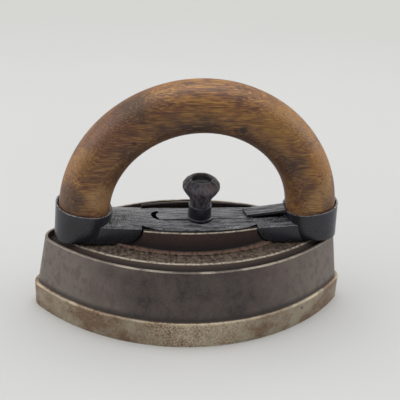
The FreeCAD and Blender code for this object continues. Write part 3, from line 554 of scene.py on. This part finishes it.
@dataclass(frozen=True)
class OldBeech(Finish):
    """Beech, bent and turned smooth, then held for years in greasy hands.

    The eye gets fine lengthwise fibres with short dark pores, gold where hands rub it, painted
    shade in dark brown along the inside edge of the arch, strongest toward its top, and a few small
    bruises.
    """

    name: str = "old_beech"
    centre_mm: tuple[float, float, float] = (2.5, 0.0, 51.3)
    gold: str = "#B08344"
    honey: str = "#885A34"
    brown: str = "#563425"
    umber_pores_and_shade: str = "#35231F"
    scraped: str = "#AE8349"
    fibre_mm: float = 0.6
    band_mm: float = 2.2
    patch_mm: float = 12.0
    pore_mm: float = 0.4
    fibre_height_mm: float = 0.1
    marks: tuple[Mark, ...] = (
        Mark((-34.0, -8.0, 112.0), 12.0, "#2E2019", 0.85),
        Mark((-42.0, -11.0, 98.0), 14.0, "#5C3629", 0.72),
        Mark((-60.0, -8.0, 64.0), 9.0, "#3A2D2B", 0.72),
        Mark((-45.0, -11.0, 65.0), 6.5, "#C69C6C", 0.70),
        Mark((-55.0, -10.0, 84.0), 7.0, "#94692F", 0.50),
        Mark((38.0, -10.0, 104.0), 12.0, "#9C7136", 0.60),
        Mark((60.5, -8.0, 66.0), 8.0, "#B58C5A", 0.60),
        Mark((0.0, -9.0, 101.0), 9.0, "#3E2A24", 0.70),
        Mark((-14.0, -9.0, 103.0), 8.0, "#4A2F26", 0.60),
        Mark((45.0, -9.0, 83.0), 7.0, "#33211C", 0.80),
        Mark((60.0, -9.0, 84.0), 8.0, "#A8722F", 0.45),
        Mark((-46.7, -11.0, 94.7), 1.2, "#20140F", 0.90),
        Mark((-30.2, -11.3, 94.3), 1.2, "#20140F", 0.90),
        Mark((-27.0, -11.0, 92.2), 0.7, "#20140F", 0.80),
        Mark((15.9, -11.0, 100.7), 1.3, "#20140F", 0.95),
        Mark((19.1, -11.0, 100.7), 2.0, "#1C110D", 0.95),
        Mark((48.0, -10.0, 68.4), 1.0, "#2A1A12", 0.80),
    )

    def build(self, node: AddNode, place: Socket) -> Socket:
        """Add fibres, stained patches, painted shade on the inside edge, scratches, pores and
        bruises.
        """
        height = node("SeparateXYZ", (place,), "Z")
        along = node("Mapping", {"Vector": place, "Scale": (0.06, 1.0, 1.0)})
        fibres = node("TexNoise", {"Vector": along, "Scale": per_mm(self.fibre_mm), "Detail": 4.0,
                                   "Roughness": 0.65})
        bands = node("TexNoise", {"Vector": along, "Scale": per_mm(self.band_mm), "Detail": 3.0,
                                  "Distortion": 0.5})
        patches = node("TexNoise", {"Vector": place, "Scale": per_mm(self.patch_mm), "Detail": 3.0,
                                    "Roughness": 0.55})
        figure = node("Mix", {SHARE: 0.7, NUMBER_A: bands, NUMBER_B: fibres}, data_type="FLOAT")
        colour = node("ValToRGB", (figure,),
                      stops=((0.40, self.brown), (0.50, self.honey), (0.60, self.gold)))

        stained = node("MapRange", (patches, 0.48, 0.64, 0.0, 0.7), **EASED)
        colour = node("Mix", {SHARE: stained, COLOUR_A: colour, COLOUR_B: linear(self.brown)},
                      COLOUR_OUT, data_type="RGBA")
        for mark in self.marks:
            middle = tuple(part * MM for part in mark.place)
            away = node("VectorMath", (place, middle), "Value", operation="DISTANCE")
            away = node("Math", (patches, mark.reach * 1.6 * MM, away), operation="MULTIPLY_ADD")
            share = node("MapRange", (away, mark.reach * 2.2 * MM, mark.reach * 1.2 * MM, 0.0,
                                      mark.strength), **EASED)
            colour = node("Mix", {SHARE: share, COLOUR_A: colour, COLOUR_B: linear(mark.colour)},
                          COLOUR_OUT, data_type="RGBA")

        # Painted shade: dark brown along the inside edge of the arch, stronger toward its top.
        centre = tuple(part * MM for part in self.centre_mm)
        side_view = node("VectorMath", (place, centre), operation="SUBTRACT")
        side_view = node("VectorMath", (side_view, (1, 0, 1)), operation="MULTIPLY")
        reach = node("VectorMath", (side_view,), "Value", operation="LENGTH")
        wavering = node("Math", (patches, 14 * MM, reach), operation="MULTIPLY_ADD")
        inner_shade = node("MapRange", (wavering, 64 * MM, 53 * MM), **EASED)
        shade_toward_top = node("MapRange", (height, SOCKET_Z + 4 * MM, SOCKET_Z + 34 * MM, 0.25, 0.85))
        inner_shade = node("Math", (inner_shade, shade_toward_top), operation="MULTIPLY")
        colour = node("Mix", {SHARE: inner_shade, COLOUR_A: colour, COLOUR_B: linear(self.umber_pores_and_shade)},
                      COLOUR_OUT, data_type="RGBA")

        # Scratches and pores, about 0.1 mm wide in beech, are drawn coarser so that they show.
        lengthwise = node("Mapping", {"Vector": place, "Scale": (0.07, 1.0, 1.0)})
        scored = node("TexNoise", {"Vector": lengthwise, "Scale": per_mm(self.pore_mm),
                                   "Detail": 2.0})
        scratch = node("MapRange", (scored, 0.56, 0.66, 0.0, 0.5), **EASED)
        colour = node("Mix", {SHARE: scratch, COLOUR_A: colour, COLOUR_B: linear(self.scraped)},
                      COLOUR_OUT, data_type="RGBA")
        pore = node("MapRange", (scored, 0.46, 0.34, 0.0, 0.6), **EASED)
        colour = node("Mix", {SHARE: pore, COLOUR_A: colour, COLOUR_B: linear(self.umber_pores_and_shade)},
                      COLOUR_OUT, data_type="RGBA")

        normal = node("Bump", {"Height": fibres, "Distance": self.fibre_height_mm * MM})
        normal = node("Bump", {"Height": scored, "Distance": self.fibre_height_mm * MM,
                               "Normal": normal})
        rough = node("MapRange", (figure, 0.34, 0.66, 0.44, 0.58))
        return node("BsdfPrincipled", {"Base Color": colour, "Roughness": rough, "IOR": 1.48,
                                       "Normal": normal})


@dataclass(frozen=True)
class DrawnSteel(Finish):
    """Mild steel, drawn and turned, with a brown bloom of old rust.

    The eye gets a dull grey shine that breaks up into matte brown patches.
    """

    name: str = "drawn_mild_steel"
    clean: str = "#8C8985"
    bloom: str = "#5B4A3E"
    patch_mm: float = 2.5
    grain_mm: float = 0.4
    grain_height_mm: float = 0.02

    def build(self, node: AddNode, place: Socket) -> Socket:
        """Add clean metal with patches of bloom."""
        patches = node("TexNoise", {"Vector": place, "Scale": per_mm(self.patch_mm), "Detail": 4.0})
        grain = node("TexNoise", {"Vector": place, "Scale": per_mm(self.grain_mm), "Detail": 1.0})
        colour = node("ValToRGB", (patches,), stops=((0.42, self.clean), (0.66, self.bloom)))
        rough = node("MapRange", (patches, 0.4, 0.7, 0.34, 0.6))
        normal = node("Bump", {"Height": grain, "Distance": self.grain_height_mm * MM})
        return node("BsdfPrincipled", {"Base Color": colour, "Metallic": 0.85, "Roughness": rough,
                                       "Normal": normal})


@dataclass(frozen=True)
class PouredPlaster(Finish):
    """Plaster, poured as an insulating filling.

    The eye gets a chalky grey-white with small air bubbles.
    """

    name: str = "poured_plaster"
    chalk: str = "#C9C4B8"
    shade: str = "#A79F90"
    cloud_mm: float = 6.0
    bubble_spacing_mm: float = 2.4
    bubble_depth_mm: float = 0.3

    def build(self, node: AddNode, place: Socket) -> Socket:
        """Add the chalky colour with its bubbles."""
        cloud = node("TexNoise", {"Vector": place, "Scale": per_mm(self.cloud_mm), "Detail": 3.0})
        bubbles = node("TexVoronoi", {"Vector": place, "Scale": per_mm(self.bubble_spacing_mm)})
        pit = node("MapRange", (bubbles, 0.22, 0.12), **EASED)
        colour = node("ValToRGB", (cloud,), stops=((0.35, self.shade), (0.65, self.chalk)))
        colour = node("Mix", {SHARE: pit, COLOUR_A: colour, COLOUR_B: linear(self.shade)},
                      COLOUR_OUT, data_type="RGBA")
        normal = node("Bump", {"Height": pit, "Distance": -self.bubble_depth_mm * MM})
        return node("BsdfPrincipled", {"Base Color": colour, "Roughness": 0.9, "Normal": normal})


@dataclass(frozen=True)
class PaintedBoard(Finish):
    """Board painted matte off-white, which the iron stands on.

    The eye gets an even pale grey that keeps the iron's soft shadow and runs out into the
    surround with no horizon.
    """

    name: str = "matte_painted_board"
    light: str = "#CFCFCE"
    shade: str = "#CBCBCB"
    surround: str = "#D6D6D2"
    cloud_mm: float = 400.0
    near: float = 0.3
    far: float = 0.75

    def build(self, node: AddNode, place: Socket) -> Socket:
        """Add a plain matte colour that turns into the surround's own colour far out."""
        cloud = node("TexNoise", {"Vector": place, "Scale": per_mm(self.cloud_mm), "Detail": 2.0})
        colour = node("ValToRGB", (cloud,), stops=((0.3, self.shade), (0.7, self.light)))
        board = node("BsdfPrincipled", {"Base Color": colour, "Roughness": 0.95,
                                        "Specular IOR Level": 0.1})
        away = node("VectorMath", (place,), "Value", operation="LENGTH")
        fade = node("MapRange", (away, self.near, self.far), **EASED)
        fade = node("Math", (fade, looked_at(node)), operation="MULTIPLY")
        glow = node("Emission", (linear(self.surround), 1.0))
        return node("MixShader", (fade, board, glow))


# ---------------------------------------------------------------- pieces


def new_piece(name: str, shape: bmesh.types.BMesh, finish: Finish, body: str) -> bpy.types.Object:
    """Turn a bmesh into a smooth piece that rides on a body.

    Args:
        name: Name of the piece.
        shape: Its shape, in metres and in place. It is freed.
        finish: Its finish.
        body: Body that it rides on.

    Returns:
        The new object.
    """
    bmesh.ops.recalc_face_normals(shape, faces=shape.faces)
    for face in shape.faces:
        face.smooth = True
    mesh = bpy.data.meshes.new(name)
    shape.to_mesh(mesh)
    shape.free()
    mesh.materials.append(finish.material())
    piece = bpy.data.objects.new(name, mesh)
    bpy.context.scene.collection.objects.link(piece)
    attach(piece, body)
    LOG.info("%s: %d faces, %s, rides on %s", name, len(mesh.polygons), finish.name, body)
    return piece


def dress(node: str, finish: Finish) -> None:
    """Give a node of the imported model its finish."""
    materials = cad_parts[node].data.materials
    materials.clear()
    materials.append(finish.material())
    LOG.info("%s: %s", node, finish.name)


@dataclass
class Iron:
    """The hollow casting with its filling, cap plate, keeper rod and screws."""

    casting: BareCastIron = BareCastIron()
    cap: BrownedCastIron = BrownedCastIron()
    filling: PouredPlaster = PouredPlaster()
    steel: DrawnSteel = DrawnSteel()

    def make(self) -> None:
        """Dress the iron's pieces."""
        dress("body_casting", self.casting)
        dress("cap_plate", self.cap)
        dress("insulating_fill", self.filling)
        dress("keeper_rod", self.steel)
        dress("cap_screws", self.steel)


@dataclass
class Handle:
    """The base casting with its wooden grip and their screws and pins."""

    base: JapannedIron = JapannedIron(name="rippled_japanned_iron", relief=CastingRelief.RIPPLED)
    grip: OldBeech = OldBeech()
    steel: DrawnSteel = DrawnSteel()

    def make(self) -> None:
        """Dress the handle's pieces."""
        dress("handle_base", self.base)
        dress("wooden_grip", self.grip)
        for node in ("grip_screws", "lever_pin", "claw_pin"):
            dress(node, self.steel)


@dataclass
class Knob:
    """Bell-shaped knob with sunk flutes round its bell and a dished top.

    Its half profile is given as radius and height above its foot, in millimetres.
    """

    half_profile_mm: tuple[tuple[float, float], ...] = (
        (0.0, 0.0), (4.8, 0.0), (5.1, 0.3), (5.1, 1.3), (5.1, 2.3), (5.8, 4.25),
        (7.3, 6.2), (8.8, 8.15), (9.5, 10.1), (9.1, 11.6), (8.0, 13.0), (6.6, 14.1),
        (5.7, 14.5), (5.0, 14.2), (4.6, 13.2), (4.2, 11.9), (3.2, 11.2), (0.0, 11.0),
    )
    flutes: int = 18
    columns_per_flute: int = 3
    flute_low_mm: float = 5.0
    flute_high_mm: float = 13.6
    flute_depth_mm: float = 0.22
    flute_edge_mm: float = 0.2
    dish_mm: float = 5.2
    merge_mm: float = 0.01
    smoothing: int = 2
    finish: BlackenedIron = BlackenedIron()

    def make(self) -> bpy.types.Object:
        """Spin the profile in its solid's place, sink the flutes and smooth the whole.

        Returns:
            The knob.
        """
        low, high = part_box("knob")
        foot = Vector(((low.x + high.x) / 2, (low.y + high.y) / 2, low.z))
        shape = bmesh.new()
        points = [shape.verts.new(foot + Vector((radius, 0, up)) * MM)
                  for radius, up in self.half_profile_mm]
        lines = [shape.edges.new(pair) for pair in zip(points, points[1:])]
        columns = self.flutes * self.columns_per_flute
        bmesh.ops.spin(shape, geom=points + lines, cent=foot, axis=(0, 0, 1),
                       angle=2 * math.pi, steps=columns, use_merge=True)
        bmesh.ops.remove_doubles(shape, verts=shape.verts, dist=self.merge_mm * MM)
        bmesh.ops.recalc_face_normals(shape, faces=shape.faces)
        sunk = [face for face in shape.faces
                if self.in_flute(face.calc_center_median() - foot, columns)]
        bmesh.ops.inset_region(shape, faces=sunk, thickness=self.flute_edge_mm * MM,
                               depth=-self.flute_depth_mm * MM, use_even_offset=True)
        piece = new_piece("fluted_knob", shape, self.finish, "latch")
        smooth = piece.modifiers.new("smooth", "SUBSURF")
        smooth.levels = smooth.render_levels = self.smoothing
        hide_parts("knob")
        return piece

    def in_flute(self, out: Vector, columns: int) -> bool:
        """Tell whether a face lies in a flute.

        Args:
            out: Middle of the face, from the middle of the knob's foot.
            columns: Number of faces round the knob.

        Returns:
            True in a flute, False on the ridge between two flutes and above and below them.
        """
        column = math.floor(math.atan2(out.y, out.x) / (2 * math.pi) * columns)
        outside = out.xy.length > self.dish_mm * MM
        return (column % self.columns_per_flute != 0 and outside
                and self.flute_low_mm * MM < out.z < self.flute_high_mm * MM)


@dataclass
class Latch:
    """The lever with its collar, knob, stem and claw, and the leaf spring that presses it."""

    knob: Knob
    iron: JapannedIron = JapannedIron()
    steel: DrawnSteel = DrawnSteel()

    def make(self) -> None:
        """Dress the latch's pieces and model its knob."""
        for node in ("latch_lever", "knob_collar", "leaf_spring"):
            dress(node, self.iron)
        for node in ("knob_stem", "stem_cross_pin", "latch_claw"):
            dress(node, self.steel)
        self.knob.make()


# ---------------------------------------------------------------- stage


@dataclass(frozen=True)
class Lamp:
    """One soft lamp: where it stands, how large it is and how strong."""

    name: str
    place: tuple[float, float, float]
    size: tuple[float, float]
    watts: float

    def make(self, target: Vector) -> None:
        """Hang the lamp, aimed at the target."""
        data = bpy.data.lights.new(self.name, "AREA")
        data.shape = "RECTANGLE"
        data.size, data.size_y = self.size
        data.energy = self.watts
        lamp = bpy.data.objects.new(self.name, data)
        bpy.context.scene.collection.objects.link(lamp)
        lamp.location = self.place
        lamp.rotation_euler = (target - lamp.location).to_track_quat("-Z", "Y").to_euler()


@dataclass
class Stage:
    """Floor, lamps, surroundings and camera."""

    board: PaintedBoard = PaintedBoard()
    floor_half: float = 6.0
    surround: str = "#D6D6D2"
    surround_light: float = 0.32
    aim: tuple[float, float, float] = (0.0, 0.0, 0.04)
    lens_mm: float = 63.0
    camera_place: tuple[float, float, float] = (-39.85 * MM, -299.88 * MM, 226.86 * MM)
    yaw: float = 0.132
    tilt: float = 0.517
    roll: float = 0.056
    shift: tuple[float, float] = (0.01558, 0.0169)
    lamps: tuple[Lamp, ...] = (
        Lamp("overhead", (0.0, 0.25, 1.4), (1.6, 1.2), 18.0),
        Lamp("left_side", (-1.3, 0.05, 0.55), (1.2, 1.0), 9.5),
        Lamp("right_side", (1.3, 0.05, 0.55), (1.2, 1.0), 8.0),
    )

    def make(self) -> None:
        """Build the stage."""
        self.make_floor()
        self.make_surround()
        for lamp in self.lamps:
            lamp.make(Vector(self.aim))
        self.make_camera()
        bpy.context.scene.view_settings.view_transform = "Standard"

    def make_floor(self) -> None:
        """Lay a large pale floor under the iron."""
        shape = bmesh.new()
        bmesh.ops.create_grid(shape, x_segments=2, y_segments=2, size=self.floor_half)
        mesh = bpy.data.meshes.new("floor")
        shape.to_mesh(mesh)
        shape.free()
        mesh.materials.append(self.board.material())
        floor = bpy.data.objects.new("floor", mesh)
        bpy.context.scene.collection.objects.link(floor)

    def make_surround(self) -> None:
        """Set a pale surround, at full strength only where it is looked at or mirrored."""
        world = bpy.data.worlds.new("pale_surround")
        bpy.context.scene.world = world
        world.use_nodes = True
        world.node_tree.nodes.clear()
        node = functools.partial(add_node, world.node_tree)
        strength = node("MapRange", (looked_at(node), 0.0, 1.0, self.surround_light, 1.0))
        node("OutputWorld", (node("Background", (linear(self.surround), strength)),))

    def make_camera(self) -> None:
        """Stand the camera and turn it by yaw, tilt and roll."""
        back = Vector((-math.sin(self.yaw) * math.cos(self.tilt),
                       -math.cos(self.yaw) * math.cos(self.tilt),
                       math.sin(self.tilt)))
        level = Vector((math.cos(self.yaw), -math.sin(self.yaw), 0))
        upward = back.cross(level)
        right = level * math.cos(self.roll) + upward * math.sin(self.roll)
        top = upward * math.cos(self.roll) - level * math.sin(self.roll)
        data = bpy.data.cameras.new("camera")
        data.sensor_width = 36
        data.lens = self.lens_mm
        data.shift_x, data.shift_y = self.shift
        data.clip_start, data.clip_end = 0.01, 50
        camera = bpy.data.objects.new("camera", data)
        bpy.context.scene.collection.objects.link(camera)
        turn = Matrix((right, top, back)).transposed().to_4x4()
        camera.matrix_world = Matrix.Translation(Vector(self.camera_place)) @ turn
        bpy.context.scene.camera = camera


# ---------------------------------------------------------------- the whole


def main() -> None:
    """Build the stage and the iron's sub-assemblies."""
    logging.basicConfig(level=logging.INFO, format="%(message)s")
    Stage().make()
    Iron().make()
    Handle().make()
    Latch(knob=Knob()).make()


if __name__ == "__main__":
    main()
